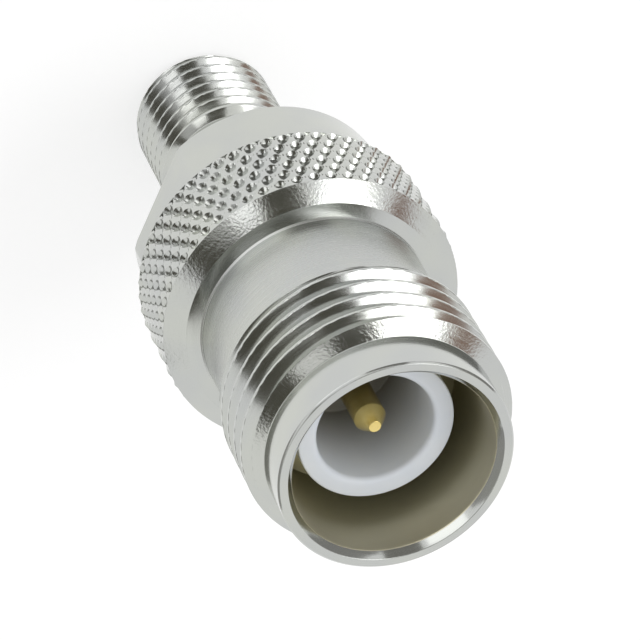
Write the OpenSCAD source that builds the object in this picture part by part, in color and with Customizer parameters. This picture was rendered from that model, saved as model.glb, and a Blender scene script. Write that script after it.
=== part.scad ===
// Coaxial adapter: a large threaded jack with a pin in a cup at one end, a small threaded jack with a
// socket at the other, and a knurled ring with a wrench collar between them.
// Millimetres. It stands on the small jack's end face, and +Z runs along its axis to the large mouth.

/* [Main sizes] */
// Overall length, from the small jack's end face to the large jack's mouth
overall_len = 28; // [27:0.1:36]

/* [Small jack] */
// Major diameter of the thread
rear_thread_d = 6.3; // [6:0.1:6.8]
// Length of the thread, from the end face
rear_thread_len = 4.95; // [3:0.05:8]
// Diameter of the plain neck behind the thread
rear_neck_d = 6.2; // [5.9:0.1:6.6]
// Length of the whole jack, from the end face to the wrench collar
rear_jack_len = 9.4; // [8.5:0.1:11]
// Chamfer at the start of the thread
rear_end_chamfer = 0.25; // [0.1:0.05:0.35]
// Diameter of the bore that takes the mating plug
rear_bore_d = 4.64; // [4.4:0.02:5]
// Depth of that bore, down to the seat where the outer conductors meet
rear_bore_depth = 1.93; // [1:0.01:3]
// Chamfer at the mouth of that bore
rear_mouth_chamfer = 0.12; // [0.05:0.01:0.2]

/* [Wrench collar] */
// Diameter of the collar
collar_d = 11.2; // [10.4:0.1:11.8]
// Length of the collar, from the small jack to the ring
collar_len = 3.5; // [2.5:0.1:5.5]
// Distance across the two wrench flats
flats_across = 10; // [9.4:0.1:10.8]
// Edge break on the collar's rear edge
collar_edge = 0.12; // [0.05:0.01:0.3]

/* [Knurled ring] */
// Diameter over the points of the knurl
ring_d = 12.8; // [12.5:0.1:14]
// Height of the knurl's points over its grooves
knurl_depth = 0.25; // [0.1:0.05:0.35]
// Points in one row round the ring
knurl_teeth = 55; // [30:1:72]
// Points in one column along the ring
knurl_rows = 3; // [2:1:5]
// Length of the ring's knurled part
knurl_len = 3.87; // [3:0.01:5.5]
// Length of the chamfer in front of the knurl
ring_chamfer_len = 0.47; // [0.3:0.01:0.9]
// Width of the ring's front face round the neck
ring_face_w = 0.63; // [0.3:0.01:0.8]
// Rise of that face from its outer edge to the neck
ring_face_rise = 0.14; // [0.02:0.01:0.3]
// Chamfer on the ring's rear edge
ring_rear_chamfer = 0.2; // [0.1:0.05:0.25]

/* [Large jack] */
// Diameter of the plain neck, and of the spigot that is pressed into the ring
neck_d = 9.7; // [9.2:0.1:10]
// Major diameter of the thread
front_thread_d = 11; // [10.6:0.1:11.6]
// Length of the thread
front_thread_len = 4.27; // [3:0.01:6]
// Length of the chamfer at the start of the thread
thread_lead = 0.32; // [0.1:0.01:0.6]
// Edge break at the end of the thread
thread_end_edge = 0.15; // [0.05:0.01:0.3]
// Diameter of the plain guide in front of the thread
front_guide_d = 9.6; // [9.3:0.1:10]
// Length of that guide
front_guide_len = 1.83; // [1:0.01:3]
// Edge break round the mouth
mouth_edge = 0.08; // [0.02:0.01:0.12]
// Diameter of the mouth's bore
front_bore_d = 8.3; // [7.6:0.1:8.6]
// Depth of the mouth's bore, down to the web
front_bore_depth = 5.3; // [4.2:0.1:7]
// Radial width of the countersink at the mouth
mouth_sink = 0.25; // [0.1:0.01:0.28]
// Depth of that countersink
mouth_sink_len = 0.32; // [0.1:0.01:0.8]
// Thickness of the web that holds the front insulator
web_len = 0.8; // [0.5:0.1:1.2]
// Length of the spigot inside the ring
spigot_len = 2.94; // [2:0.01:3.6]

/* [Insulators] */
// Outside diameter of the cup round the pin
cup_d = 6.42; // [5.8:0.02:6.8]
// Inside diameter of the cup
cup_bore_d = 4.8; // [3.6:0.1:5.2]
// Distance from the mouth down to the cup's rim
cup_recess = 2.6; // [1:0.1:3.6]
// Depth of the cup, from its rim to its floor
cup_depth = 4.9; // [3:0.1:7]
// Edge break on the cup's rim
cup_edge = 0.1; // [0.02:0.01:0.2]
// Diameter of the front insulator's flange behind the web
front_flange_d = 7.2; // [6.9:0.1:7.8]
// Diameter of the rear insulator in the small jack
rear_insulator_d = 4.1; // [3.6:0.02:4.3]
// Diameter of the rear insulator's flange
rear_flange_d = 5.6; // [4.6:0.1:6.4]
// Length of the rear insulator's flange
rear_flange_len = 3.3; // [1:0.1:4.5]

/* [Centre contact] */
// Diameter of the pin
pin_d = 1.3; // [0.9:0.05:1.5]
// Diameter of the flat at the pin's tip
pin_tip_d = 0.5; // [0.2:0.05:0.7]
// Length of the cone at the pin's tip
pin_tip_len = 0.67; // [0.3:0.01:1.2]
// Distance from the mouth down to the pin's tip
pin_recess = 2.78; // [1.5:0.01:4]
// Diameter of the shaft inside the front insulator, which the pin stands on
shaft_d = 1.8; // [1.5:0.1:2.1]
// Diameter of the shoulder that is held between the insulators
shoulder_d = 2.6; // [2.3:0.1:3.4]
// Length of that shoulder
shoulder_len = 0.8; // [0.4:0.1:2]
// Outside diameter of the socket
socket_d = 1.27; // [1.2:0.01:1.6]
// Diameter of the socket's bore
socket_bore_d = 0.94; // [0.86:0.01:1]
// Depth of the socket's bore
socket_bore_len = 2.8; // [2:0.1:5]
// Whole wall left between the slots and the bottom of the socket's bore
slot_stop = 0.6; // [0.2:0.1:1.4]
// Width of those slots
slot_w = 0.15; // [0.08:0.01:0.18]
// Distance that the socket stands back from the rear insulator's face
socket_recess = 0.1; // [0:0.01:0.3]

/* [Fits] */
// Radial gap of a pressed or sliding joint
fit_gap = 0.01; // [0.005:0.005:0.03]
// Gap at a shoulder that two pieces meet on
seat_gap = 0.01; // [0.005:0.005:0.03]

/* [Hidden] */
$fn = 96;
// Radial depth of the ring's smooth bed below the knurl's grooves, and its bare edge at each end
knurl_land = 0.04;
// How far the knurl's band is sunk in its bed
knurl_sink = 0.3;
// Reach of a cutting block past what it cuts
over = 1;

// Levels along the axis
collar_z = rear_jack_len;
ring_z = collar_z + collar_len;
knurl_z = ring_z + ring_rear_chamfer;
chamfer_z = ring_z + knurl_len;
ring_face_z = chamfer_z + ring_chamfer_len;
mouth_z = overall_len;
guide_z = mouth_z - front_guide_len;
front_thread_z = guide_z - front_thread_len;
seat_z = ring_face_z - spigot_len;
rear_flange_z = seat_z - rear_flange_len;
web_z = mouth_z - front_bore_depth;
web_back_z = web_z - web_len;
cup_z = mouth_z - cup_recess;
cup_floor_z = cup_z - cup_depth;
pin_tip_z = mouth_z - pin_recess;
socket_z = rear_bore_depth + socket_recess;
slot_len = socket_bore_len - slot_stop;

// Radii that follow from others
knurl_point_r = ring_d / 2;
knurl_groove_r = knurl_point_r - knurl_depth;
ring_bed_r = knurl_groove_r - knurl_land;
ring_face_r = neck_d / 2 + ring_face_w;
spigot_r = neck_d / 2;
rear_seat_r = rear_insulator_d / 2 + fit_gap;

// Knurl: half steps round the ring and along it
knurl_n = 2 * knurl_teeth;
knurl_m = 2 * knurl_rows;
knurl_low = knurl_z + knurl_land;
knurl_step = (chamfer_z - knurl_land - knurl_low) / knurl_m;

// Number of a knurl corner, i half steps round and j half steps up
function corner(i, j) = j * knurl_n + i % knurl_n;

// Every second corner is a point of the knurl, and the others are where its grooves cross
function corner_r(i, j) = (i + j) % 2 == 0 ? knurl_point_r : knurl_groove_r;

function on_ring(r, i, z) = [r * cos(180 * i / knurl_teeth), r * sin(180 * i / knurl_teeth), z];

// Two triangles of the knurl, folded along the groove that crosses them
function fold(i, j) = (i + j) % 2 == 0
    ? [[corner(i, j), corner(i, j + 1), corner(i + 1, j)],
       [corner(i, j + 1), corner(i + 1, j + 1), corner(i + 1, j)]]
    : [[corner(i, j), corner(i, j + 1), corner(i + 1, j + 1)],
       [corner(i, j), corner(i + 1, j + 1), corner(i + 1, j)]];

// Band of four-sided points, two crossing families of grooves, to be sunk in the ring's bed
module knurl_band() {
    inner_r = ring_bed_r - knurl_sink;
    high = knurl_low + knurl_m * knurl_step;
    under = knurl_m + 1;
    top = knurl_m + 2;
    outside = [for (j = [0:knurl_m]) for (i = [0:knurl_n - 1])
        on_ring(corner_r(i, j), i, knurl_low + j * knurl_step)];
    inside = [for (z = [knurl_low, high]) for (i = [0:knurl_n - 1]) on_ring(inner_r, i, z)];
    folds = [for (j = [0:knurl_m - 1]) for (i = [0:knurl_n - 1]) for (t = fold(i, j)) t];
    ends = [for (i = [0:knurl_n - 1]) for (q = [
        [corner(i, 0), corner(i + 1, 0), corner(i + 1, under), corner(i, under)],
        [corner(i, knurl_m), corner(i, top), corner(i + 1, top), corner(i + 1, knurl_m)],
        [corner(i, under), corner(i + 1, under), corner(i + 1, top), corner(i, top)]]) q];
    polyhedron(concat(outside, inside), concat(folds, ends), convexity = 10);
}

// Outline of the rear shell: outside from the end face to the ring's face, then back down its bores
module rear_outline() {
    polygon([
        [rear_bore_d / 2 + rear_mouth_chamfer, 0],
        [rear_thread_d / 2 - rear_end_chamfer, 0],
        [rear_thread_d / 2, rear_end_chamfer],
        [rear_thread_d / 2, rear_thread_len],
        [rear_neck_d / 2, rear_thread_len],
        [rear_neck_d / 2, collar_z],
        [collar_d / 2 - collar_edge, collar_z],
        [collar_d / 2, collar_z + collar_edge],
        [collar_d / 2, ring_z],
        [ring_bed_r - ring_rear_chamfer, ring_z],
        [ring_bed_r, knurl_z],
        [ring_bed_r, chamfer_z],
        [ring_face_r, ring_face_z],
        [spigot_r + fit_gap, ring_face_z + ring_face_rise],
        [spigot_r + fit_gap, seat_z],
        [rear_flange_d / 2 + fit_gap, seat_z],
        [rear_flange_d / 2 + fit_gap, rear_flange_z],
        [rear_seat_r, rear_flange_z],
        [rear_seat_r, rear_bore_depth],
        [rear_bore_d / 2, rear_bore_depth],
        [rear_bore_d / 2, rear_mouth_chamfer]
    ]);
}

module rear_shell() {
    color("#c9cac6") {
        difference() {
            rotate_extrude() rear_outline();
            for (side = [0, 180])
                rotate(side)
                    translate([flats_across / 2, -collar_d / 2 - over, collar_z - over])
                        cube([collar_d, collar_d + 2 * over, collar_len + over]);
        }
        knurl_band();
    }
}

// Outline of the front shell: outside from the spigot to the mouth, then back down its bores
module front_outline() {
    flange_r = front_flange_d / 2 + fit_gap;
    polygon([
        [flange_r, seat_z + seat_gap],
        [spigot_r, seat_z + seat_gap],
        [spigot_r, front_thread_z],
        [front_thread_d / 2 - thread_end_edge, front_thread_z],
        [front_thread_d / 2, front_thread_z + thread_end_edge],
        [front_thread_d / 2, guide_z - thread_lead],
        [front_guide_d / 2, guide_z],
        [front_guide_d / 2, mouth_z - mouth_edge],
        [front_guide_d / 2 - mouth_edge, mouth_z],
        [front_bore_d / 2 + mouth_sink, mouth_z],
        [front_bore_d / 2, mouth_z - mouth_sink_len],
        [front_bore_d / 2, web_z],
        [cup_d / 2 + fit_gap, web_z],
        [cup_d / 2 + fit_gap, web_back_z],
        [flange_r, web_back_z]
    ]);
}

module front_shell() {
    color("#c9cac6") rotate_extrude() front_outline();
}

// Cup round the pin, its flange behind the web, and the pocket for the contact's shoulder
module front_insulator() {
    bore_r = shaft_d / 2 + fit_gap;
    pocket_r = shoulder_d / 2 + fit_gap;
    pocket_z = seat_z + shoulder_len + 2 * seat_gap;
    color("#dfe3ea") rotate_extrude() polygon([
        [pocket_r, seat_z + seat_gap],
        [front_flange_d / 2, seat_z + seat_gap],
        [front_flange_d / 2, web_back_z - seat_gap],
        [cup_d / 2, web_back_z - seat_gap],
        [cup_d / 2, cup_z - cup_edge],
        [cup_d / 2 - cup_edge, cup_z],
        [cup_bore_d / 2, cup_z],
        [cup_bore_d / 2, cup_floor_z],
        [bore_r, cup_floor_z],
        [bore_r, pocket_z],
        [pocket_r, pocket_z]
    ]);
}

// Stepped sleeve in the small jack, its flange on the shoulder behind the wrench collar
module rear_insulator() {
    bore_r = socket_d / 2 + fit_gap;
    color("#dfe3ea") rotate_extrude() polygon([
        [bore_r, rear_bore_depth],
        [rear_insulator_d / 2, rear_bore_depth],
        [rear_insulator_d / 2, rear_flange_z + seat_gap],
        [rear_flange_d / 2, rear_flange_z + seat_gap],
        [rear_flange_d / 2, seat_z],
        [bore_r, seat_z]
    ]);
}

// Pin, shoulder and slotted socket, turned from one bar
module centre_contact() {
    shoulder_z = seat_z + seat_gap;
    color("#b8a040") difference() {
        rotate_extrude() polygon([
            [socket_bore_d / 2, socket_z],
            [socket_d / 2, socket_z],
            [socket_d / 2, shoulder_z],
            [shoulder_d / 2, shoulder_z],
            [shoulder_d / 2, shoulder_z + shoulder_len],
            [shaft_d / 2, shoulder_z + shoulder_len],
            [shaft_d / 2, cup_floor_z],
            [pin_d / 2, cup_floor_z],
            [pin_d / 2, pin_tip_z - pin_tip_len],
            [pin_tip_d / 2, pin_tip_z],
            [0, pin_tip_z],
            [0, socket_z + socket_bore_len],
            [socket_bore_d / 2, socket_z + socket_bore_len]
        ]);
        for (turn = [0, 90])
            rotate(turn)
                translate([-socket_d, -slot_w / 2, socket_z - over])
                    cube([2 * socket_d, slot_w, slot_len + over]);
    }
}

front_shell();
rear_shell();
front_insulator();
rear_insulator();
centre_contact();
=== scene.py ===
"""Looks of the coax adapter: turned and knurled shells, white insulators, gilded contact and the studio."""

import math

import bpy
from bpy.props import FloatProperty, FloatVectorProperty, IntProperty, PointerProperty
from bpy.types import Operator, Panel, PropertyGroup
from mathutils import Matrix, Vector


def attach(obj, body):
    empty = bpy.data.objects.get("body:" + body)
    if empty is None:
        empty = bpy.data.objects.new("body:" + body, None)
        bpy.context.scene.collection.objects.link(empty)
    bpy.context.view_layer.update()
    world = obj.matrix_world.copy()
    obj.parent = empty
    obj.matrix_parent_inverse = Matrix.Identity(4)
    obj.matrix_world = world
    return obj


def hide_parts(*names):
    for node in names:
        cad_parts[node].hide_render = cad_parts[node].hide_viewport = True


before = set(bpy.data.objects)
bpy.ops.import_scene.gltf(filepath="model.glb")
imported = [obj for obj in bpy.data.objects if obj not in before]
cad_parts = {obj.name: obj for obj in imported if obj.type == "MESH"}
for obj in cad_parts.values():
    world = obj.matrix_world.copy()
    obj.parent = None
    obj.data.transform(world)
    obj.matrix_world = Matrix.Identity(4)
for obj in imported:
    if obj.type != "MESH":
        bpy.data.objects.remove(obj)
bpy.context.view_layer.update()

bl_info = {
    "name": "Coax adapter looks",
    "version": (1, 1, 0),
    "blender": (4, 5, 0),
    "location": "View3D > Sidebar > Adapter",
    "description": "Builds the visible pieces of a coax adapter on its packed solids, and a studio for them",
    "category": "Object",
}

MM = 0.001

# Rounding of a plain turned edge, and the largest part of an edge that a rounding may take
FINE = 0.03 * MM
ROUNDING_SHARE = 0.45
# Distance under which two places count as one
CLOSE = 1e-9
# Least turn of the surface, in degrees, that shows as an edge
EDGE = 28
KNURL_EDGE = 40
# Steps in one rounding
ROUND_STEPS = 4
CUP_STEPS = 6
CONTACT_STEPS = 5
# Rows of faces on each wall of the knurl and on each slope behind it
SLOPE_ROWS = 4
# Name of the tree that cuts threads, and the angle of a thread's flank to a plane across the axis
THREAD_CUT = "thread_cut"
FLANK = math.radians(30)
# Sizes of the small jack's thread in millimetres; those of the large one are the defaults
SMALL_THREAD = {
    "major": 3.15, "pitch": 0.7056, "depth": 0.41, "crest": 0.08,
    "height": 4.2244, "low": -1, "high": 4.95, "runout": 0.3,
}

# Kinds of node that are used often, and the inputs and the output of a mix of two colours
MATH = "ShaderNodeMath"
VECTOR = "ShaderNodeVectorMath"
RANGE = "ShaderNodeMapRange"
NOISE = "ShaderNodeTexNoise"
MIX = "ShaderNodeMix"
SHARE, FIRST, SECOND = 0, 6, 7
MIXED = 2

# Two shades of each finish, the bore's from the mouth to the web; the web's and the deep ones are painted
# shade
NICKEL_SHADES = ("#C5C7C1", "#C0C2C0")
BORE_TINT_AND_PAINTED_SHADE = ("#DAD4BC", "#A8A48C")
WHITE_SHADES = ("#E9EFF8", "#EEF3FA")
WHITE_PAINTED_SHADE = "#8A877C"
GOLD_SHADES = ("#EBD58C", "#E4CC7E")
GOLD_PAINTED_SHADE = "#9C8648"
FLOOR_SHADE = "#C8C8C8"
PURE_WHITE = "#FFFFFF"
# Patches of the two shades in a millimetre, and the values of a noise between which it counts
NICKEL_PATCHES, WHITE_PATCHES, GOLD_PATCHES = 0.35, 0.8, 1.5
NARROW, WIDE = (0.35, 0.65), (0.3, 0.7)
# Turning marks in a millimetre, across and along the axis
NICKEL_MARKS = (0.15, 0.15, 14.0)
GOLD_MARKS = (0.3, 0.3, 22.0)
# Roughness between the marks and on them, and what the neck and the bore have more
NICKEL_ROUGH = (0.11, 0.17)
GOLD_ROUGH = (0.2, 0.28)
NECK_ROUGH = 0.14
BORE_ROUGH = 0.32
# Height of the grain when that of the marks is 1, and what the broken cones have more
GRAIN = 0.5
CONE_GRAIN = 4.0
# How slowly the painted shade in the cup darkens with depth
DEEP_POWER = 1.1

# Cards that only reflections see, by azimuth from the camera's side and by elevation, in degrees
WALL_CARDS = {
    "low_window": {"turn": (-33, 9), "rise": (14, 33), "glow": 1.7, "tint": PURE_WHITE},
    "right_front_wall": {"turn": (15, 50), "rise": (0, 38), "glow": 0.30, "tint": "#E8E6E0"},
    "right_wall": {"turn": (50, 118), "rise": (0, 20), "glow": 0.36, "tint": "#EEECE8"},
    "left_wall": {"turn": (-118, -42), "rise": (0, 24), "glow": 0.45, "tint": "#EEEDEA"},
    "brown_card": {"turn": (100, 122), "rise": (32, 48), "glow": 0.5, "tint": "#C9A492"},
}
# The same overhead, by how far toward the camera and aside on a dome of radius 1, and the reach in metres
CEILING_CARDS = {
    "dark_ceiling": {
        "ahead": (-0.36, 0.62), "aside": (-0.52, 0.32), "reach": 1.10, "glow": 0.1, "tint": "#F4F0DC",
    },
    "ceiling_spot": {
        "ahead": (0.43, 0.58), "aside": (-0.20, 0.03), "reach": 0.65, "glow": 1.8, "tint": PURE_WHITE,
    },
    "rear_spot": {
        "ahead": (0.08, 0.24), "aside": (-0.28, 0.00), "reach": 0.65, "glow": 1.0, "tint": PURE_WHITE,
    },
    "left_glow": {
        "ahead": (0.40, 0.58), "aside": (-0.46, -0.20), "reach": 0.65, "glow": 0.6, "tint": PURE_WHITE,
    },
}


# Properties


def length(name, words, mm):
    """A length property whose default is given in millimetres."""
    return FloatProperty(name=name, description=words, default=mm * MM, unit="LENGTH", precision=6)


def turn_by(name, words, degrees):
    """An angle property whose default is given in degrees."""
    return FloatProperty(name=name, description=words, default=math.radians(degrees), subtype="ANGLE")


def amount(name, words, value):
    """A property without a unit."""
    return FloatProperty(name=name, description=words, default=value)


def number(name, words, value):
    """A property that counts."""
    return IntProperty(name=name, description=words, default=value)


class ADAPTER_PG_thread(PropertyGroup):
    """Sizes of one cut thread."""

    major: length("Major radius", "Radius over the crests", 5.5)
    pitch: length("Pitch", "Rise of the thread in one turn", 0.907)
    depth: length("Depth", "Depth of the groove below the crests", 0.53)
    crest: length("Crest width", "Width of the flat on a crest", 0.1)
    height: length("Crest height", "Height of a crest over the X axis", 25.196)
    low: length("Low end", "Height where the thread begins", 21.9)
    high: length("High end", "Height where the thread ends", 26.3)
    runout: length("Run-out", "Length over which the groove fades at its inner end", 0.3)


class ADAPTER_PG_front(PropertyGroup):
    """Sizes of the front shell."""

    mouth: length("Mouth height", "Height of the lip", 28.0)
    mouth_edge: length("Lip edge", "Edge break on the outside of the lip", 0.08)
    guide: length("Guide radius", "Radius of the plain guide before the thread", 4.8)
    guide_low: length("Guide foot", "Height where the guide ends", 26.17)
    lead: length("Lead", "Length of the chamfer at the start of the thread", 0.32)
    thread_edge: length("Thread edge", "Edge break where the thread ends at the neck", 0.15)
    bore: length("Bore radius", "Radius of the mouth's bore", 4.15)
    sink: length("Countersink", "Radial width of the countersink at the mouth", 0.25)
    sink_length: length("Countersink depth", "Depth of the countersink at the mouth", 0.32)
    web: length("Web height", "Height of the web at the bottom of the bore", 22.7)
    web_length: length("Web thickness", "Thickness of the web", 0.8)
    cup_hole: length("Web hole radius", "Radius of the hole that the cup passes through", 3.22)
    flange_hole: length("Rear bore radius", "Radius of the bore behind the web", 3.61)
    neck: length("Neck radius", "Radius of the plain neck and of the spigot", 4.85)
    spigot_low: length("Spigot foot", "Height of the spigot's end inside the ring", 14.31)
    bead: length("Bead", "Radius of the fillet where the neck leaves the ring", 0.07)
    columns: number("Columns", "Steps round the shell", 180)
    step: length("Row step", "Height of one row of faces in the thread", 0.016)


class ADAPTER_PG_rear(PropertyGroup):
    """Sizes of the rear shell, its knurl and its flats."""

    face: length("Ring face height", "Height of the outer edge of the ring's front face", 17.26)
    face_rise: length("Ring face rise", "Rise of that face from its outer edge to the neck", 0.12)
    face_radius: length("Ring face radius", "Outer radius of the ring's front face", 5.48)
    chamfer: length("Chamfer height", "Height where the ring's front chamfer begins", 16.74)
    bed: length("Bed radius", "Radius of the ring under the knurled band", 5.95)
    rim: length("Rim radius", "Radius of the ring's edges at the ends of the knurl", 6.31)
    ring: length("Band radius", "Radius of the band before the knurl is pressed", 6.4)
    ring_low: length("Ring foot", "Height of the ring's rear face", 12.9)
    ring_edge: length("Ring rear edge", "Chamfer on the ring's rear edge", 0.06)
    ring_hole: length("Ring hole", "Radius of the hole that takes the small jack", 2.9)
    seat: length("Seat height", "Height of the seat inside the ring", 14.3)
    seat_radius: length("Seat radius", "Radius of the bore that takes the spigot", 4.86)
    collar: length("Collar radius", "Radius of the wrench collar", 5.6)
    collar_low: length("Collar foot", "Height of the collar's rear face", 9.4)
    collar_edge: length("Collar edge", "Edge break on the collar", 0.1)
    flat: length("Flat distance", "Distance from the axis to a wrench flat", 5.0)
    knurl_up: length("Point height", "Height of the knurl's points over the ring's edges", 0.08)
    knurl_down: length("Pit depth", "Depth of the knurl's pits under the ring's edges", 0.11)
    knurl_wall: length("Wall length", "Length along the axis of the steep wall from a point to a pit", 0.11)
    knurl_brow: length("Brow length", "How far the sides of a wall's top stand forward of its middle", 0.09)
    knurl_rise: length("Knurl rise", "Distance between two points along the axis", 1.28)
    knurl_height: length("Knurl height", "Height of one row of points", 15.65)
    knurl_turn: turn_by("Knurl turn", "Direction of one point in that row", -58.17)
    knurl_runout: length("Knurl run-out", "Length over which the knurl ends behind the ring's chamfer", 0.3)
    knurl_teeth: number("Knurl teeth", "Points in one row round the ring", 55)
    knurl_split: number("Knurl split", "Columns of faces for each point", 16)
    ring_columns: number("Ring columns", "Steps round the ring and the collar", 240)
    neck: length("Neck radius", "Radius of the plain neck of the small jack", 3.1)
    relief: length("Relief radius", "Radius of the groove behind the small thread", 2.8)
    relief_cone: length("Relief cone", "Length of the cone from the small thread to that groove", 0.22)
    relief_high: length("Relief end", "Height where that groove ends", 5.7)
    sunk: length("Sunk length", "Length of the small jack that is inside the collar", 1.0)
    end_edge: length("End chamfer", "Chamfer at the start of the small thread", 0.25)
    bore: length("Bore radius", "Radius of the small jack's bore", 2.32)
    bore_edge: length("Bore edge", "Edge break at the start of the small jack's bore", 0.12)
    bore_length: length("Bore depth", "Depth of the small jack's bore", 1.93)
    inner: length("Inner radius", "Radius of the hole round the rear insulator", 2.06)
    columns: number("Columns", "Steps round the small jack", 132)
    step: length("Row step", "Height of one row of faces in the small thread", 0.018)


class ADAPTER_PG_core(PropertyGroup):
    """Sizes of the insulators and of the centre contact."""

    cup: length("Cup radius", "Outer radius of the cup", 3.21)
    cup_bore: length("Cup bore", "Inner radius of the cup", 2.4)
    cup_high: length("Cup rim", "Height of the cup's rim", 25.4)
    cup_floor: length("Cup floor", "Height of the cup's floor", 20.5)
    cup_round: length("Rim rounding", "Radius of the rim's inner edge", 0.3)
    cup_edge: length("Rim edge", "Radius of the rim's outer edge", 0.08)
    flange: length("Front flange", "Radius of the front insulator's flange", 3.6)
    flange_high: length("Front flange height", "Height where the front flange ends", 21.89)
    joint: length("Joint height", "Height where the two insulators meet", 14.3)
    sleeve: length("Sleeve radius", "Radius of the rear insulator", 2.05)
    sleeve_low: length("Sleeve foot", "Height of the rear insulator's face", 1.93)
    sleeve_flange: length("Rear flange", "Radius of the rear insulator's flange", 2.8)
    sleeve_flange_low: length("Rear flange height", "Height where the rear flange begins", 11.01)
    pin: length("Pin radius", "Radius of the pin", 0.65)
    pin_tip: length("Tip radius", "Radius of the flat at the pin's tip", 0.25)
    pin_high: length("Tip height", "Height of the pin's tip", 25.22)
    pin_cone: length("Tip length", "Length of the cone at the pin's tip", 0.67)
    shaft: length("Shaft radius", "Radius of the shaft that carries the pin", 0.9)
    shoulder: length("Shoulder radius", "Radius of the contact's shoulder", 1.3)
    shoulder_length: length("Shoulder length", "Length of the contact's shoulder", 0.8)
    socket: length("Socket radius", "Outer radius of the socket", 0.635)
    socket_bore: length("Socket bore", "Inner radius of the socket", 0.47)
    socket_low: length("Socket foot", "Height of the socket's end", 2.03)
    socket_depth: length("Socket depth", "Depth of the socket's bore", 2.8)
    slot_length: length("Slot length", "Length of the slots in the socket", 2.2)
    slot: length("Slot width", "Width of the slots in the socket", 0.15)
    slots: number("Slots", "Number of slots in the socket", 4)
    finger_steps: number("Finger steps", "Steps round one finger of the socket", 12)
    gap: length("Fit gap", "Gap between pieces that slide into each other", 0.01)
    columns: number("Columns", "Steps round these pieces", 128)


class ADAPTER_PG_stage(PropertyGroup):
    """Camera and studio."""

    eye: FloatVectorProperty(
        name="Camera place",
        description="Where the camera stands",
        default=(0.06728, -0.06143, 0.13646),
        unit="LENGTH",
    )
    aim: FloatVectorProperty(
        name="Camera aim", description="Direction of the camera's view", default=(-0.4496, 0.4093, -0.7940)
    )
    roll: turn_by("Camera roll", "Turn of the picture about the aim", 151.06)
    lens: amount("Lens", "Focal length for the sensor", 206.5)
    sensor: amount("Sensor", "Width of the sensor in millimetres", 36.0)
    near: length("Near clip", "Distance from which the camera sees", 1.0)
    far: length("Far clip", "Distance to which the camera sees", 20000.0)
    middle: length("Middle height", "Height that the lamps and cards face", 20.0)
    reach: length("Card reach", "Distance of the wall cards", 700.0)
    key_reach: length("Key reach", "Distance of the key lamp", 600.0)
    key_way: FloatVectorProperty(
        name="Key direction", description="Toward the camera, aside and up", default=(0.075, 0.52, 0.85)
    )
    key_size: length("Key size", "Side of the square key lamp", 270.0)
    key_power: amount("Key power", "Watts of the key lamp", 0.7)
    sky: amount("Sky", "Strength of the white surround as light", 0.7)
    floor: length("Floor size", "Half the side of the floor", 3000.0)
    floor_glow: amount("Floor glow", "Own light of the floor", 0.57)


# Colours and nodes


def linear(hex_code):
    """Linear colour of an sRGB hex code, by the numbers of that standard."""
    parts = [int(hex_code[i:i + 2], 16) / 255 for i in (1, 3, 5)]
    return tuple(c / 12.92 if c <= 0.04045 else ((c + 0.055) / 1.055) ** 2.4 for c in parts) + (1.0,)


def add(tree, kind, inputs=(), out=0, **settings):
    """Adds a node with its settings, sets or links its inputs in order or by name, and returns an output."""
    node = tree.nodes.new(kind)
    for key, value in settings.items():
        setattr(node, key, value)
    for key, value in inputs.items() if isinstance(inputs, dict) else enumerate(inputs):
        if isinstance(value, bpy.types.NodeSocket):
            tree.links.new(value, node.inputs[key])
        else:
            node.inputs[key].default_value = value
    return node.outputs if out is None else node.outputs[out]


def from_axis(tree, place):
    """A place without its height, and its distance from the axis."""
    level = add(tree, VECTOR, [place, (1, 1, 0)], operation="MULTIPLY")
    return level, add(tree, VECTOR, [level], out="Value", operation="LENGTH")


# Outlines and meshes


def rounded(corners, steps=ROUND_STEPS):
    """Outline with its corners rounded: each corner is (radius from the axis, height, rounding)."""
    count = len(corners)
    points = []
    for k, (r, z, rounding) in enumerate(corners):
        here = Vector((r, z))
        back = Vector(corners[k - 1][:2]) - here
        ahead = Vector(corners[(k + 1) % count][:2]) - here
        if rounding <= 0 or back.length < CLOSE or ahead.length < CLOSE:
            points.append((r, z))
            continue
        half = back.angle(ahead) / 2
        reach = min(rounding / math.tan(half), ROUNDING_SHARE * back.length, ROUNDING_SHARE * ahead.length)
        first = here + back.normalized() * reach
        last = here + ahead.normalized() * reach
        for s in range(steps + 1):
            t = s / steps
            p = first * (1 - t) ** 2 + here * (2 * t * (1 - t)) + last * t ** 2
            points.append((p.x, p.y))
    return points


def divided(outline, low, high, step, least):
    """Outline with its outer edges between two heights cut into short rows."""
    count = len(outline)
    points = []
    for k, (r, z) in enumerate(outline):
        r2, z2 = outline[(k + 1) % count]
        rows = 1
        if min(r, r2) >= least and max(z, z2) <= high + CLOSE and min(z, z2) >= low - CLOSE:
            rows = max(1, math.ceil(math.hypot(r2 - r, z2 - z) / step))
        points += [(r + (r2 - r) * n / rows, z + (z2 - z) * n / rows) for n in range(rows)]
    return points


def on_circle(r, a, z):
    """Point at a radius, an angle and a height."""
    return (r * math.cos(a), r * math.sin(a), z)


def lathe(outline, columns, turn=0.0, place=on_circle):
    """Vertices and faces of a closed outline of (radius, height) turned round Z.

    place(r, a, z) gives each point. An outline that starts and ends on the axis gets one vertex at each pole.
    """
    angles = [turn + 2 * math.pi * i / columns for i in range(columns)]
    open_ended = outline[0][0] == 0 and outline[-1][0] == 0
    rings = outline[1:-1] if open_ended else outline
    points = [place(r, a, z) for r, z in rings for a in angles]
    faces = []
    count = len(rings)
    for j in range(count - 1 if open_ended else count):
        here, there = j * columns, (j + 1) % count * columns
        for i in range(columns):
            n = (i + 1) % columns
            faces.append((here + i, here + n, there + n, there + i))
    if open_ended:
        for ring, pole in ((0, outline[0]), (count - 1, outline[-1])):
            points.append((0.0, 0.0, pole[1]))
            top = len(points) - 1
            for i in range(columns):
                a, b = ring * columns + i, ring * columns + (i + 1) % columns
                faces.append((b, a, top) if ring == 0 else (a, b, top))
    return points, faces


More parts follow.
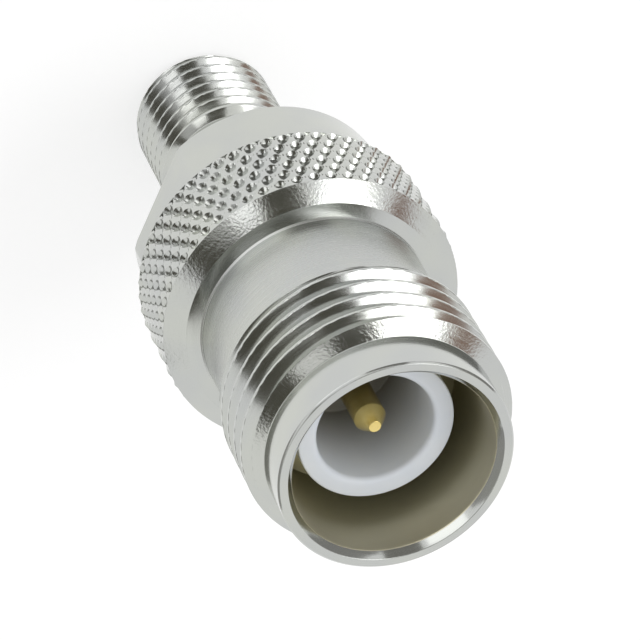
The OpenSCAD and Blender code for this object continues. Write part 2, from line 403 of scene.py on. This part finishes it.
def sector(inner, outer, low, high, start, end, steps):
    """Vertices and faces of a closed piece of tube between two angles."""
    section = ((inner, low), (outer, low), (outer, high), (inner, high))
    count = len(section)
    points = []
    for s in range(steps + 1):
        a = start + (end - start) * s / steps
        points += [on_circle(r, a, z) for r, z in section]
    faces = [tuple(range(count)), tuple(count * steps + k for k in reversed(range(count)))]
    for s in range(steps):
        here, there = count * s, count * (s + 1)
        for k in range(count):
            n = (k + 1) % count
            faces.append((here + k, there + k, there + n, here + n))
    return points, faces


def joined(name, parts):
    """One object of several lists of vertices and faces."""
    points, faces = [], []
    for more, sides in parts:
        start = len(points)
        points += more
        faces += [tuple(start + k for k in face) for face in sides]
    mesh = bpy.data.meshes.new(name)
    mesh.from_pydata(points, [], faces)
    mesh.validate()
    obj = bpy.data.objects.new(name, mesh)
    bpy.context.scene.collection.objects.link(obj)
    return obj


def shade(obj, degrees=EDGE):
    """Smooth faces with sharp edges where the surface turns."""
    obj.data.shade_smooth()
    obj.data.set_sharp_from_angle(angle=math.radians(degrees))


def through_nodes(obj, tree, values):
    """Runs an object's mesh through a geometry node tree and leaves it as a plain mesh."""
    modifier = obj.modifiers.new(tree.name, "NODES")
    modifier.node_group = tree
    for item in tree.interface.items_tree:
        if item.item_type == "SOCKET" and item.in_out == "INPUT" and item.name in values:
            modifier[item.identifier] = values[item.name]
    bpy.context.view_layer.update()
    result = bpy.data.meshes.new_from_object(obj.evaluated_get(bpy.context.evaluated_depsgraph_get()))
    if not result.polygons:
        raise RuntimeError(f"{tree.name} left nothing of {obj.name}")
    obj.modifiers.clear()
    old, obj.data = obj.data, result
    bpy.data.meshes.remove(old)
    result.name = obj.name


def dress(obj, material, slot, *nodes):
    """Material, body and the solids that a finished piece stands for; the slot argument is not used."""
    obj.data.materials.clear()
    obj.data.materials.append(material)
    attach(obj, "root")
    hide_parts(*nodes)


# Geometry node trees


def cutting_tree(name, labels):
    """Tree with a mesh and numbers as inputs, and what a cut needs: angle, height and a way to end."""
    tree = bpy.data.node_groups.new(name, "GeometryNodeTree")
    face = tree.interface
    face.new_socket("Geometry", in_out="INPUT", socket_type="NodeSocketGeometry")
    for label in labels:
        face.new_socket(label, in_out="INPUT", socket_type="NodeSocketFloat")
    face.new_socket("Material", in_out="INPUT", socket_type="NodeSocketMaterial")
    face.new_socket("Geometry", in_out="OUTPUT", socket_type="NodeSocketGeometry")
    given = add(tree, "NodeGroupInput", out=None)
    position = add(tree, "GeometryNodeInputPosition")
    x, y, z = add(tree, "ShaderNodeSeparateXYZ", [position], out=None)
    level, radius = from_axis(tree, position)
    angle = add(tree, MATH, [y, x], operation="ARCTAN2")

    def end(cut_radius, cut_height=z):
        """Moves each point in to the cut's radius where that is smaller, and closes the tree."""
        smaller = add(tree, MATH, [radius, cut_radius], operation="MINIMUM")
        scale = add(tree, MATH, [smaller, radius], operation="DIVIDE")
        scaled = add(tree, VECTOR, {"Vector": level, "Scale": scale}, operation="SCALE")
        height = add(tree, "ShaderNodeCombineXYZ", [0.0, 0.0, cut_height])
        place = add(tree, VECTOR, [scaled, height], operation="ADD")
        moved = add(tree, "GeometryNodeSetPosition", {"Geometry": given["Geometry"], "Position": place})
        real = add(tree, "GeometryNodeRealizeInstances", [moved])
        painted = add(tree, "GeometryNodeSetMaterial", {"Geometry": real, "Material": given["Material"]})
        add(tree, "NodeGroupOutput", [painted], out=None)
        return tree

    return tree, given, angle, z, end


def thread_tree():
    """Cuts a right-handed groove with flanks at 60 degrees to each other."""
    labels = ("Major", "Pitch", "Depth", "Crest", "Height", "Low", "High", "Run-out")
    tree, given, angle, z, end = cutting_tree(THREAD_CUT, labels)
    turns = add(tree, MATH, [angle, 2 * math.pi], operation="DIVIDE")
    above = add(tree, MATH, [z, given["Height"]], operation="SUBTRACT")
    rise = add(tree, MATH, [above, given["Pitch"]], operation="DIVIDE")
    turn = add(tree, MATH, [rise, turns], operation="SUBTRACT")
    phase = add(tree, MATH, [turn, 0.5], operation="PINGPONG")
    aside = add(tree, MATH, [phase, given["Pitch"]], operation="MULTIPLY")
    edge = add(tree, MATH, [given["Crest"], 2.0], operation="DIVIDE")
    foot = add(tree, MATH, [given["Depth"], math.tan(FLANK), edge], operation="MULTIPLY_ADD")
    groove = add(tree, RANGE, [aside, edge, foot, 0.0, given["Depth"]])
    start = add(tree, MATH, [given["Low"], given["Run-out"]], operation="ADD")
    fade_low = add(tree, RANGE, [z, given["Low"], start, 0.0, 1.0])
    stop = add(tree, MATH, [given["High"], given["Run-out"]], operation="SUBTRACT")
    fade_high = add(tree, RANGE, [z, stop, given["High"], 1.0, 0.0])
    fade = add(tree, MATH, [fade_low, fade_high], operation="MULTIPLY")
    cut = add(tree, MATH, [groove, fade], operation="MULTIPLY")
    return end(add(tree, MATH, [given["Major"], cut], operation="SUBTRACT"))


def knurl_tree():
    """Presses a diamond knurl in a band: rows of points and pits, every second row shifted by half a point.

    Going forward, the band drops from each point by a steep wall to a pit, and rises slowly to the next
    point. The sides of a wall's top stand forward as brows. The pattern fades toward the ring's chamfer.
    """
    labels = ("Teeth", "Rise", "Height", "Turn", "Rim", "Up", "Down", "Wall", "Brow", "High", "Run-out")
    tree, given, angle, z, end = cutting_tree("diamond_knurl", labels)
    turn = add(tree, MATH, [angle, given["Turn"]], operation="SUBTRACT")
    turn = add(tree, MATH, [turn, given["Teeth"]], operation="MULTIPLY")
    above = add(tree, MATH, [z, given["Height"]], operation="SUBTRACT")
    above = add(tree, MATH, [above, CLOSE], operation="ADD")
    part = add(tree, MATH, [above, given["Rise"]], operation="DIVIDE")
    fall = add(tree, MATH, [given["Up"], given["Down"]], operation="ADD")
    slow = add(tree, MATH, [given["Rise"], given["Wall"]], operation="SUBTRACT")
    fade = add(tree, MATH, [given["High"], z], operation="SUBTRACT")
    fade = add(tree, MATH, [fade, given["Run-out"]], operation="DIVIDE", use_clamp=True)
    radius, height = given["Rim"], z
    for shift in (0.0, 0.5):
        share = add(tree, MATH, [part, shift], operation="ADD")
        share = add(tree, MATH, [share, 1.0], operation="FLOORED_MODULO")
        along = add(tree, MATH, [share, given["Rise"]], operation="MULTIPLY")
        steep = add(tree, MATH, [along, given["Wall"]], operation="DIVIDE", use_clamp=True)
        after = add(tree, MATH, [along, given["Wall"]], operation="SUBTRACT")
        after = add(tree, MATH, [after, slow], operation="DIVIDE", use_clamp=True)
        drop = add(tree, MATH, [steep, after], operation="SUBTRACT")
        drop = add(tree, MATH, [drop, fall], operation="MULTIPLY")
        level = add(tree, MATH, [given["Up"], drop], operation="SUBTRACT")
        wave = add(tree, MATH, [turn, 2 * math.pi * shift], operation="ADD")
        wave = add(tree, MATH, [wave], operation="COSINE")
        middle = add(tree, MATH, [wave, 0.5, 0.5], operation="MULTIPLY_ADD")
        level = add(tree, MATH, [level, middle], operation="MULTIPLY")
        radius = add(tree, MATH, [level, fade, radius], operation="MULTIPLY_ADD")
        side = add(tree, MATH, [1.0, middle], operation="SUBTRACT")
        brow = add(tree, MATH, [1.0, steep], operation="SUBTRACT")
        brow = add(tree, MATH, [brow, side], operation="MULTIPLY")
        brow = add(tree, MATH, [brow, fade], operation="MULTIPLY")
        height = add(tree, MATH, [brow, given["Brow"], height], operation="MULTIPLY_ADD")
    return end(radius, height)


def cut_thread(obj, sizes, material):
    """Cuts a thread of these sizes round an object."""
    tree = bpy.data.node_groups.get(THREAD_CUT) or thread_tree()
    through_nodes(obj, tree, {
        "Major": sizes.major, "Pitch": sizes.pitch, "Depth": sizes.depth, "Crest": sizes.crest,
        "Height": sizes.height, "Low": sizes.low, "High": sizes.high, "Run-out": sizes.runout,
        "Material": material,
    })


# Materials


def new_material(name):
    """Empty node material and its tree."""
    material = bpy.data.materials.new(name)
    material.use_nodes = True
    material.node_tree.nodes.clear()
    return material, material.node_tree


def place_in(tree):
    """Place on a piece in millimetres, and its height."""
    place = add(tree, "ShaderNodeTexCoord", out="Object")
    where = add(tree, VECTOR, {"Vector": place, "Scale": 1 / MM}, operation="SCALE")
    return where, add(tree, "ShaderNodeSeparateXYZ", [where], out="Z")


def patchy(tree, where, scale, spread, shades):
    """Colour that drifts between two shades in soft patches."""
    patches = add(tree, NOISE, {"Vector": where, "Scale": scale})
    patches = add(tree, RANGE, [patches, *spread, 0.0, 1.0])
    one, other = map(linear, shades)
    return add(tree, MIX, {SHARE: patches, FIRST: one, SECOND: other}, out=MIXED, data_type="RGBA")


def turning_marks(tree, where, stretch):
    """Noise drawn out to fine marks that run round the axis."""
    drawn = add(tree, VECTOR, [where, stretch], operation="MULTIPLY")
    return add(tree, NOISE, {"Vector": drawn, "Scale": 1.0, "Detail": 3.0})


def finish_material(tree, inputs):
    """Principled shader with its inputs, as the surface of a material."""
    surface = add(tree, "ShaderNodeBsdfPrincipled", inputs)
    add(tree, "ShaderNodeOutputMaterial", [surface], out=None)


def nickel_material():
    """Bright nickel plate on turned brass.

    A faintly warm grey mirror. Turning marks a few hundredths of a millimetre apart run round it and soften
    what it reflects; they are drawn a little coarser than they are, so that they show. The broken cones are
    grainy, the neck is less bright, and the plate inside the mouth is rougher and brownish, with painted
    shade that darkens it from the mouth to the web.
    """
    material, tree = new_material("plated_nickel")
    where, z = place_in(tree)
    front = bpy.context.scene.adapter_front
    rear = bpy.context.scene.adapter_rear
    radius = from_axis(tree, where)[1]
    narrow = add(tree, MATH, [radius, (front.bore + FINE) / MM], operation="LESS_THAN")
    high = add(tree, MATH, [z, (front.web - FINE) / MM], operation="GREATER_THAN")
    inside = add(tree, MATH, [narrow, high], operation="MULTIPLY")
    depth = add(tree, RANGE, [z, front.mouth / MM, front.web / MM, 0.0, 1.0])
    lead_middle = (front.guide_low - front.lead / 2) / MM
    chamfer_middle = (rear.chamfer + rear.face) / 2 / MM
    lead = add(tree, MATH, [z, lead_middle, front.lead / 2 / MM], operation="COMPARE")
    chamfer = add(tree, MATH, [z, chamfer_middle, (rear.face - rear.chamfer) / 2 / MM], operation="COMPARE")
    cones = add(tree, MATH, [lead, chamfer], operation="MAXIMUM")
    joint = rear.face + rear.face_rise
    thread = bpy.context.scene.adapter_front_thread.low
    neck = add(tree, MATH, [z, (joint + thread) / 2 / MM, (thread - joint) / 2 / MM], operation="COMPARE")

    colour = patchy(tree, where, NICKEL_PATCHES, NARROW, NICKEL_SHADES)
    # The bore's colour: a brownish tint at the mouth, and painted shade that darkens it toward the web
    outer, deep = map(linear, BORE_TINT_AND_PAINTED_SHADE)
    bore_tint_and_painted_shade = add(tree, MIX, {SHARE: depth, FIRST: outer, SECOND: deep}, out=MIXED, data_type="RGBA")
    colour = add(tree, MIX, {SHARE: inside, FIRST: colour, SECOND: bore_tint_and_painted_shade}, out=MIXED, data_type="RGBA")
    marks = turning_marks(tree, where, NICKEL_MARKS)
    rough = add(tree, RANGE, [marks, *WIDE, *NICKEL_ROUGH])
    rough = add(tree, MATH, [neck, NECK_ROUGH, rough], operation="MULTIPLY_ADD")
    rough = add(tree, MATH, [inside, BORE_ROUGH, rough], operation="MULTIPLY_ADD")
    grain = add(tree, NOISE, {"Vector": where, "Scale": 9.0, "Detail": 3.0})
    coarse = add(tree, MATH, [cones, CONE_GRAIN, GRAIN], operation="MULTIPLY_ADD")
    relief = add(tree, MATH, [grain, coarse, marks], operation="MULTIPLY_ADD")
    normal = add(tree, "ShaderNodeBump", {"Strength": 0.3, "Distance": 0.004 * MM, "Height": relief})
    finish_material(tree, {"Base Color": colour, "Metallic": 1.0, "Roughness": rough, "Normal": normal})
    return material


def insulator_material():
    """White fluoropolymer, turned: smooth, waxy and faintly blue, with a soft sheen.

    Light sinks into it and is lost in the shell behind; the cup's colour darkens with depth as painted shade.
    """
    material, tree = new_material("turned_fluoropolymer")
    where, z = place_in(tree)
    core = bpy.context.scene.adapter_core
    radius = from_axis(tree, where)[1]
    within = add(tree, MATH, [radius, (core.cup_bore + FINE) / MM], operation="LESS_THAN")
    rim, floor = (core.cup_high - core.cup_round) / MM, core.cup_floor / MM
    # Painted shade: the colour inside the cup darkens from the rim down to its floor, toward the dark shade
    deep = add(tree, RANGE, [z, rim, floor, 0.0, 1.0])
    in_front = add(tree, MATH, [z, core.joint / MM], operation="GREATER_THAN")
    deep = add(tree, MATH, [deep, within], operation="MULTIPLY")
    deep = add(tree, MATH, [deep, in_front], operation="MULTIPLY")
    deep = add(tree, MATH, [deep, DEEP_POWER], operation="POWER")
    colour = patchy(tree, where, WHITE_PATCHES, WIDE, WHITE_SHADES)
    dark = linear(WHITE_PAINTED_SHADE)
    colour = add(tree, MIX, {SHARE: deep, FIRST: colour, SECOND: dark}, out=MIXED, data_type="RGBA")
    grain = add(tree, NOISE, {"Vector": where, "Scale": 12.0})
    normal = add(tree, "ShaderNodeBump", {"Strength": 0.15, "Distance": 0.004 * MM, "Height": grain})
    finish_material(tree, {"Base Color": colour, "Roughness": 0.42, "IOR": 1.36, "Normal": normal})
    return material


def gold_material():
    """Thin gold plate on a turned contact: a yellow mirror, softened by fine turning marks.

    The colour is darker and browner down the pin's shaft than at its tip, as painted shade.
    """
    material, tree = new_material("plated_gold")
    where, z = place_in(tree)
    core = bpy.context.scene.adapter_core
    tip, floor = (core.pin_high - core.pin_cone) / MM, core.cup_floor / MM
    # Painted shade: the gold darkens and browns from the tip down the shaft to the cup's floor
    deep = add(tree, RANGE, [z, tip, floor, 0.0, 1.0])
    in_cup = add(tree, MATH, [z, floor], operation="GREATER_THAN")
    deep = add(tree, MATH, [deep, in_cup], operation="MULTIPLY")
    colour = patchy(tree, where, GOLD_PATCHES, NARROW, GOLD_SHADES)
    brown = linear(GOLD_PAINTED_SHADE)
    colour = add(tree, MIX, {SHARE: deep, FIRST: colour, SECOND: brown}, out=MIXED, data_type="RGBA")
    marks = turning_marks(tree, where, GOLD_MARKS)
    rough = add(tree, RANGE, [marks, *WIDE, *GOLD_ROUGH])
    normal = add(tree, "ShaderNodeBump", {"Strength": 0.2, "Distance": 0.002 * MM, "Height": marks})
    finish_material(tree, {"Base Color": colour, "Metallic": 1.0, "Roughness": rough, "Normal": normal})
    return material


def material_of(name):
    """A material of the adapter, made when it is first asked for."""
    makers = {
        "plated_nickel": nickel_material,
        "turned_fluoropolymer": insulator_material,
        "plated_gold": gold_material,
    }
    return bpy.data.materials.get(name) or makers[name]()


# Pieces


class ADAPTER_OT_front_shell(Operator):
    """Build the front shell: mouth, thread, neck and spigot"""

    bl_idname = "adapter.front_shell"
    bl_label = "Front shell"

    def execute(self, context):
        s, t = context.scene.adapter_front, context.scene.adapter_front_thread
        rear = context.scene.adapter_rear
        joint = rear.face + rear.face_rise
        outline = rounded([
            (s.flange_hole, s.spigot_low, 0),
            (s.neck, s.spigot_low, 0),
            (s.neck, joint - s.bead, 0),
            (s.neck + s.bead, joint - s.bead, 0),
            (s.neck + s.bead, joint, 0),
            (s.neck, joint + s.bead, s.bead),
            (s.neck, t.low, 2 * FINE),
            (t.major - s.thread_edge, t.low, FINE),
            (t.major, t.low + s.thread_edge, 0),
            (t.major, s.guide_low - s.lead, 0),
            (s.guide, s.guide_low, FINE),
            (s.guide, s.mouth - s.mouth_edge, FINE),
            (s.guide - s.mouth_edge, s.mouth, FINE),
            (s.bore + s.sink, s.mouth, FINE),
            (s.bore, s.mouth - s.sink_length, FINE),
            (s.bore, s.web, FINE),
            (s.cup_hole, s.web, 0),
            (s.cup_hole, s.web - s.web_length, 0),
            (s.flange_hole, s.web - s.web_length, 0),
        ])
        outline = divided(outline, t.low, s.guide_low, s.step, s.guide - FINE)
        obj = joined("front_shell_turned", [lathe(outline, s.columns)])
        nickel = material_of("plated_nickel")
        cut_thread(obj, t, nickel)
        shade(obj)
        dress(obj, nickel, "nickel_plate", "front_shell")
        return {"FINISHED"}


class ADAPTER_OT_rear_shell(Operator):
    """Build the rear shell: knurled ring, wrench collar and small jack"""

    bl_idname = "adapter.rear_shell"
    bl_label = "Rear shell"

    def execute(self, context):
        s, t = context.scene.adapter_rear, context.scene.adapter_rear_thread
        nickel = material_of("plated_nickel")
        band = joined("rear_shell_turned", [self.band(s)])
        through_nodes(band, knurl_tree(), {
            "Teeth": float(s.knurl_teeth), "Rise": s.knurl_rise, "Height": s.knurl_height,
            "Turn": s.knurl_turn, "Rim": s.rim, "Up": s.knurl_up, "Down": s.knurl_down,
            "Wall": s.knurl_wall, "Brow": s.knurl_brow, "High": s.chamfer, "Run-out": s.knurl_runout,
            "Material": nickel,
        })
        jack = joined("rear_jack", [self.jack(s, t)])
        cut_thread(jack, t, nickel)
        ring = joined("rear_ring", [self.ring(s)])
        shade(band, KNURL_EDGE)
        shade(ring)
        shade(jack)
        with context.temp_override(active_object=band, selected_editable_objects=[band, ring, jack]):
            bpy.ops.object.join()
        dress(band, nickel, "nickel_plate", "rear_shell")
        return {"FINISHED"}

    def band(self, s):
        """Plain band with rows of faces that follow the rows of points."""
        low, high = s.ring_low + s.ring_edge, s.chamfer
        pace = s.knurl_rise / 2
        steps = [s.knurl_wall * k / SLOPE_ROWS for k in range(SLOPE_ROWS)]
        steps += [s.knurl_wall + (pace - s.knurl_wall) * k / SLOPE_ROWS for k in range(SLOPE_ROWS)]
        first = s.knurl_height - pace * math.ceil((s.knurl_height - low) / pace)
        count = math.ceil((high - first) / pace)
        heights = [first + pace * n + step for n in range(count) for step in steps]
        rows = [z for z in heights if low + FINE < z < high - FINE]
        outline = [(s.bed, low), (s.rim, low)] + [(s.ring, z) for z in rows] + [(s.rim, high), (s.bed, high)]
        return lathe(outline, s.knurl_teeth * s.knurl_split, s.knurl_turn)

    def ring(self, s):
        """Plain ring under the knurl, and the collar with its two flats."""
        outline = rounded([
            (s.ring_hole, s.collar_low, 0),
            (s.collar - s.collar_edge, s.collar_low, FINE),
            (s.collar, s.collar_low + s.collar_edge, FINE),
            (s.collar, s.ring_low, 0),
            (s.rim - s.ring_edge, s.ring_low, 0),
            (s.rim, s.ring_low + s.ring_edge, 0),
            (s.bed, s.ring_low + s.ring_edge, 0),
            (s.bed, s.chamfer, 0),
            (s.rim, s.chamfer, 0),
            (s.face_radius, s.face, FINE),
            (s.seat_radius, s.face + s.face_rise, 0),
            (s.seat_radius, s.seat, 0),
            (s.ring_hole, s.seat, 0),
        ])
        edge = math.acos(s.flat / s.collar)
        pace = 2 * math.pi / s.ring_columns

        def place(r, a, z):
            """Keeps the collar behind its two flats, with a column on each edge of a flat."""
            if z <= s.ring_low + CLOSE and s.ring_hole + CLOSE < r <= s.collar + CLOSE:
                side = math.atan2(math.sin(a), abs(math.cos(a)))
                if edge <= abs(side) < edge + pace:
                    shift = math.copysign(edge, side) - side
                    a += shift if math.cos(a) > 0 else -shift
                return (max(-s.flat, min(s.flat, r * math.cos(a))), r * math.sin(a), z)
            return on_circle(r, a, z)

        return lathe(outline, s.ring_columns, place=place)

    def jack(self, s, t):
        """Small jack with its bores, sunk into the collar."""
        inside = s.collar_low + s.sunk
        outline = rounded([
            (s.bore + s.bore_edge, 0, FINE),
            (t.major - s.end_edge, 0, FINE),
            (t.major, s.end_edge, 0),
            (t.major, t.high, 0),
            (s.relief, t.high + s.relief_cone, FINE),
            (s.relief, s.relief_high, 0),
            (s.neck, s.relief_high + s.relief_cone, 0),
            (s.neck, inside, 0),
            (s.inner, inside, 0),
            (s.inner, s.bore_length, 0),
            (s.bore, s.bore_length, 0),
            (s.bore, s.bore_edge, 0),
        ])
        outline = divided(outline, 0, t.high + s.relief_cone, s.step, t.major - s.end_edge - 2 * FINE)
        return lathe(outline, s.columns)


class ADAPTER_OT_insulators(Operator):
    """Build the two white insulators"""

    bl_idname = "adapter.insulators"
    bl_label = "Insulators"

    def execute(self, context):
        s = context.scene.adapter_core
        white = material_of("turned_fluoropolymer")
        pocket = s.joint + s.shoulder_length + 2 * s.gap
        front = rounded([
            (s.shoulder + s.gap, s.joint + s.gap, 0),
            (s.flange, s.joint + s.gap, FINE),
            (s.flange, s.flange_high, FINE),
            (s.cup, s.flange_high, 0),
            (s.cup, s.cup_high, s.cup_edge),
            (s.cup_bore, s.cup_high, s.cup_round),
            (s.cup_bore, s.cup_floor, 3 * FINE),
            (s.shaft + s.gap, s.cup_floor, 0),
            (s.shaft + s.gap, pocket, 0),
            (s.shoulder + s.gap, pocket, 0),
        ], CUP_STEPS)
        cup = joined("front_insulator_cup", [lathe(front, s.columns)])
        shade(cup)
        dress(cup, white, "white_insulator", "front_insulator")
        rear = rounded([
            (s.socket + s.gap, s.sleeve_low, FINE),
            (s.sleeve, s.sleeve_low, FINE),
            (s.sleeve, s.sleeve_flange_low, 0),
            (s.sleeve_flange, s.sleeve_flange_low, FINE),
            (s.sleeve_flange, s.joint, FINE),
            (s.socket + s.gap, s.joint, 0),
        ])
        sleeve = joined("rear_insulator_sleeve", [lathe(rear, s.columns)])
        shade(sleeve)
        dress(sleeve, white, "white_insulator", "rear_insulator")
        return {"FINISHED"}


class ADAPTER_OT_contact(Operator):
    """Build the centre contact: pin, shoulder and slotted socket"""

    bl_idname = "adapter.contact"
    bl_label = "Centre contact"

    def execute(self, context):
        s = context.scene.adapter_core
        split = s.socket_low + s.slot_length
        shoulder = s.joint + s.gap
        outline = rounded([
            (0, s.socket_low + s.socket_depth, 0),
            (s.socket_bore, s.socket_low + s.socket_depth, 0),
            (s.socket_bore, split, 0),
            (s.socket, split, 0),
            (s.socket, shoulder, 0),
            (s.shoulder, shoulder, FINE),
            (s.shoulder, shoulder + s.shoulder_length, FINE),
            (s.shaft, shoulder + s.shoulder_length, 0),
            (s.shaft, s.cup_floor, FINE),
            (s.pin, s.cup_floor, 0),
            (s.pin, s.pin_high - s.pin_cone, 2 * FINE),
            (s.pin_tip, s.pin_high, FINE),
            (0, s.pin_high, 0),
        ], CONTACT_STEPS)
        parts = [lathe(outline, s.columns)]
        half = math.asin(s.slot / (s.socket + s.socket_bore))
        share = 2 * math.pi / s.slots
        low, high = s.socket_low, split + FINE
        for q in range(s.slots):
            start, end = q * share + half, (q + 1) * share - half
            parts.append(sector(s.socket_bore, s.socket, low, high, start, end, s.finger_steps))
        contact = joined("centre_contact_turned", parts)
        shade(contact)
        dress(contact, material_of("plated_gold"), "gold_plate", "centre_contact")
        return {"FINISHED"}


# Studio


def card(name, points, glow, tint):
    """Four-sided glowing card of the studio, seen only in reflections."""
    material, tree = new_material(name)
    light = add(tree, "ShaderNodeEmission", {"Color": linear(tint), "Strength": glow})
    add(tree, "ShaderNodeOutputMaterial", [light], out=None)
    obj = joined(name, [(points, [(0, 1, 2, 3)])])
    obj.data.materials.append(material)
    obj.visible_camera = False
    obj.visible_diffuse = False
    obj.visible_shadow = False


class ADAPTER_OT_stage(Operator):
    """Set the pale floor, the white surround, the key lamp, the cards and the camera"""

    bl_idname = "adapter.stage"
    bl_label = "Studio"

    def execute(self, context):
        s = context.scene.adapter_stage
        context.scene.view_settings.view_transform = "Standard"
        self.camera(context, s)
        self.floor(s)
        self.world(context, s)
        self.lights(context, s)
        return {"FINISHED"}

    def camera(self, context, s):
        """Camera of the photograph, which looks down into the mouth."""
        ahead = Vector(s.aim).normalized()
        level = ahead.cross(Vector((0, 0, 1))).normalized()
        rise = level.cross(ahead)
        right = level * math.cos(s.roll) + rise * math.sin(s.roll)
        up = right.cross(ahead)
        data = bpy.data.cameras.new("camera")
        data.sensor_width = s.sensor
        data.lens = s.lens
        data.clip_start = s.near
        data.clip_end = s.far
        obj = bpy.data.objects.new("camera", data)
        turn = Matrix((right, up, -ahead)).transposed().to_4x4()
        obj.matrix_world = Matrix.Translation(Vector(s.eye)) @ turn
        context.scene.collection.objects.link(obj)
        context.scene.camera = obj

    def floor(self, s):
        """White floor, partly glowing so that its shadow stays light."""
        size = s.floor
        points = [(-size, -size, 0), (size, -size, 0), (size, size, 0), (-size, size, 0)]
        obj = joined("floor", [(points, [(0, 1, 2, 3)])])
        material, tree = new_material("white_floor")
        finish_material(tree, {
            "Base Color": linear(FLOOR_SHADE), "Roughness": 0.9, "Specular IOR Level": 0.0,
            "Emission Color": linear(PURE_WHITE), "Emission Strength": s.floor_glow,
        })
        obj.data.materials.append(material)

    def world(self, context, s):
        """White all round for the camera and for reflections, and a softer white as light."""
        world = bpy.data.worlds.new("studio")
        world.use_nodes = True
        tree = world.node_tree
        tree.nodes.clear()
        rays = add(tree, "ShaderNodeLightPath", out=None)
        seen = add(tree, MATH, [rays["Is Camera Ray"], rays["Is Glossy Ray"]], operation="MAXIMUM")
        seen = add(tree, MATH, [seen, rays["Is Transmission Ray"]], operation="MAXIMUM")
        light = add(tree, "ShaderNodeBackground", [linear(PURE_WHITE), s.sky])
        white = add(tree, "ShaderNodeBackground", [linear(PURE_WHITE), 1.0])
        both = add(tree, "ShaderNodeMixShader", [seen, light, white])
        add(tree, "ShaderNodeOutputWorld", [both], out=None)
        context.scene.world = world

    def lights(self, context, s):
        """Soft key lamp, and the cards that the bright metal reflects."""
        front = Vector((-s.aim[0], -s.aim[1], 0)).normalized()
        side = Vector((front.y, -front.x, 0))
        top = Vector((0, 0, 1))
        middle = top * s.middle

        def at(ahead, aside, up, reach):
            """Point of the studio in a direction from the part."""
            return middle + (front * ahead + side * aside + top * up).normalized() * reach

        for name, place in CEILING_CARDS.items():
            (back, fore), (left, right) = place["ahead"], place["aside"]
            corners = ((back, left), (back, right), (fore, right), (fore, left))
            points = [at(a, b, math.sqrt(1 - a * a - b * b), place["reach"]) for a, b in corners]
            card(name, points, place["glow"], place["tint"])
        for name, place in WALL_CARDS.items():
            (start, end), (low, high) = place["turn"], place["rise"]
            corners = ((start, low), (end, low), (end, high), (start, high))
            points = []
            for turn, rise in corners:
                flat = math.cos(math.radians(rise))
                ahead, aside = flat * math.cos(math.radians(turn)), flat * math.sin(math.radians(turn))
                points.append(at(ahead, aside, math.sin(math.radians(rise)), s.reach))
            card(name, points, place["glow"], place["tint"])
        data = bpy.data.lights.new("key_lamp", "AREA")
        data.size = s.key_size
        data.energy = s.key_power
        lamp = bpy.data.objects.new("key_lamp", data)
        lamp.location = at(*s.key_way, s.key_reach)
        lamp.rotation_euler = (middle - lamp.location).to_track_quat("-Z", "Y").to_euler()
        context.scene.collection.objects.link(lamp)


class ADAPTER_PT_panel(Panel):
    """Sizes and operators of the adapter"""

    bl_idname = "ADAPTER_PT_panel"
    bl_label = "Coax adapter"
    bl_space_type = "VIEW_3D"
    bl_region_type = "UI"
    bl_category = "Adapter"

    def draw(self, context):
        layout = self.layout
        for operator in OPERATORS:
            layout.operator(operator.bl_idname)
        for name in GROUPS:
            box = layout.box()
            box.label(text=name)
            group = getattr(context.scene, name)
            for key in group.bl_rna.properties.keys():
                if key not in ("rna_type", "name"):
                    box.prop(group, key)


OPERATORS = (
    ADAPTER_OT_front_shell,
    ADAPTER_OT_rear_shell,
    ADAPTER_OT_insulators,
    ADAPTER_OT_contact,
    ADAPTER_OT_stage,
)
GROUPS = {
    "adapter_front": ADAPTER_PG_front,
    "adapter_front_thread": ADAPTER_PG_thread,
    "adapter_rear": ADAPTER_PG_rear,
    "adapter_rear_thread": ADAPTER_PG_thread,
    "adapter_core": ADAPTER_PG_core,
    "adapter_stage": ADAPTER_PG_stage,
}
CLASSES = (
    ADAPTER_PG_thread, ADAPTER_PG_front, ADAPTER_PG_rear, ADAPTER_PG_core, ADAPTER_PG_stage,
) + OPERATORS + (ADAPTER_PT_panel,)


def register():
    """Registers the classes and gives the scene its sizes."""
    for item in CLASSES:
        bpy.utils.register_class(item)
    for name, group in GROUPS.items():
        setattr(bpy.types.Scene, name, PointerProperty(type=group))


def unregister():
    """Takes away what register added."""
    for name in GROUPS:
        delattr(bpy.types.Scene, name)
    for item in reversed(CLASSES):
        bpy.utils.unregister_class(item)


def main():
    """Builds the pieces and the studio."""
    register()
    for key, mm in SMALL_THREAD.items():
        setattr(bpy.context.scene.adapter_rear_thread, key, mm * MM)
    for operator in OPERATORS:
        family, name = operator.bl_idname.split(".")
        getattr(getattr(bpy.ops, family), name)()


if __name__ == "__main__":
    main()
